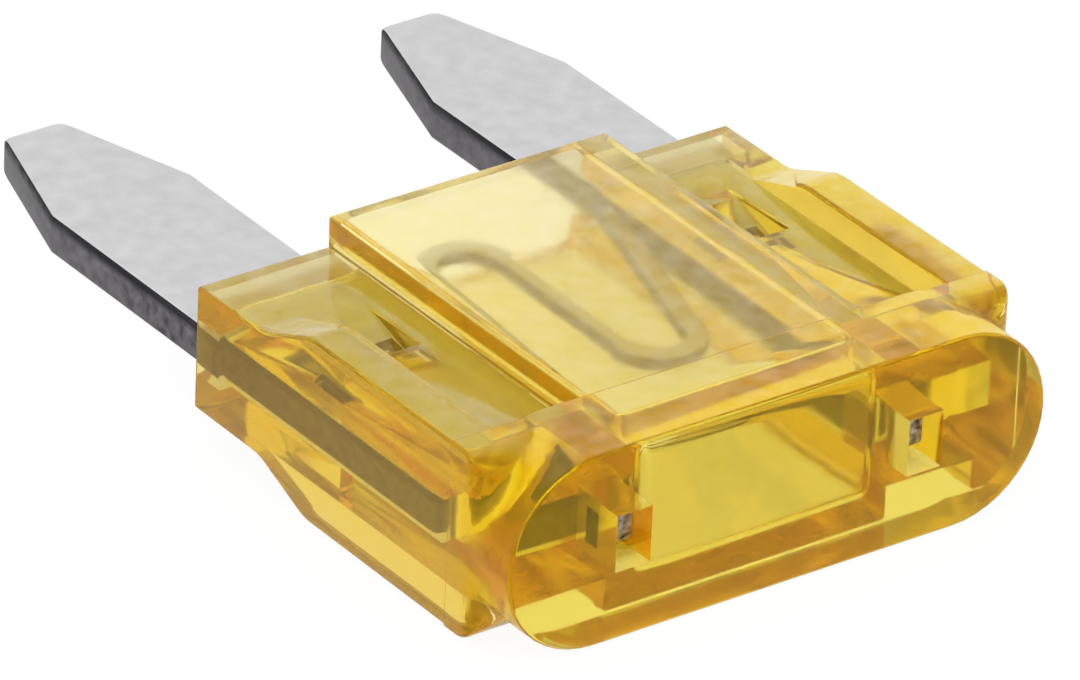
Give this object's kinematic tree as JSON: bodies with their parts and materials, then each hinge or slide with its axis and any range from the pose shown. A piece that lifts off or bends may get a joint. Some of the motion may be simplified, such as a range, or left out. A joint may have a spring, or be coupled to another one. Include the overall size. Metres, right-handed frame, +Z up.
{
  "type": "miniature automotive blade fuse",
  "caption": "Miniature blade fuse: clear amber housing with raised panels, side rails and test holes, round a stamped two-bladed metal element with a thin S-shaped link.",
  "frame": {"origin": "centre of the bounding box's footprint, on the surface the fuse lies on", "axes": "+X across the two blades, +Y from the cap to the blade tips, +Z up, through the fuse's thickness"},
  "size_m": [0.011, 0.0164, 0.0036],
  "materials": {
    "housing": "clear amber moulded plastic, polished",
    "element": "satin zinc alloy, darker on the sheared edges"
  },
  "bodies": {
    "root": {"housing": "housing", "fuse_element": "element"}
  },
  "joints": []
}
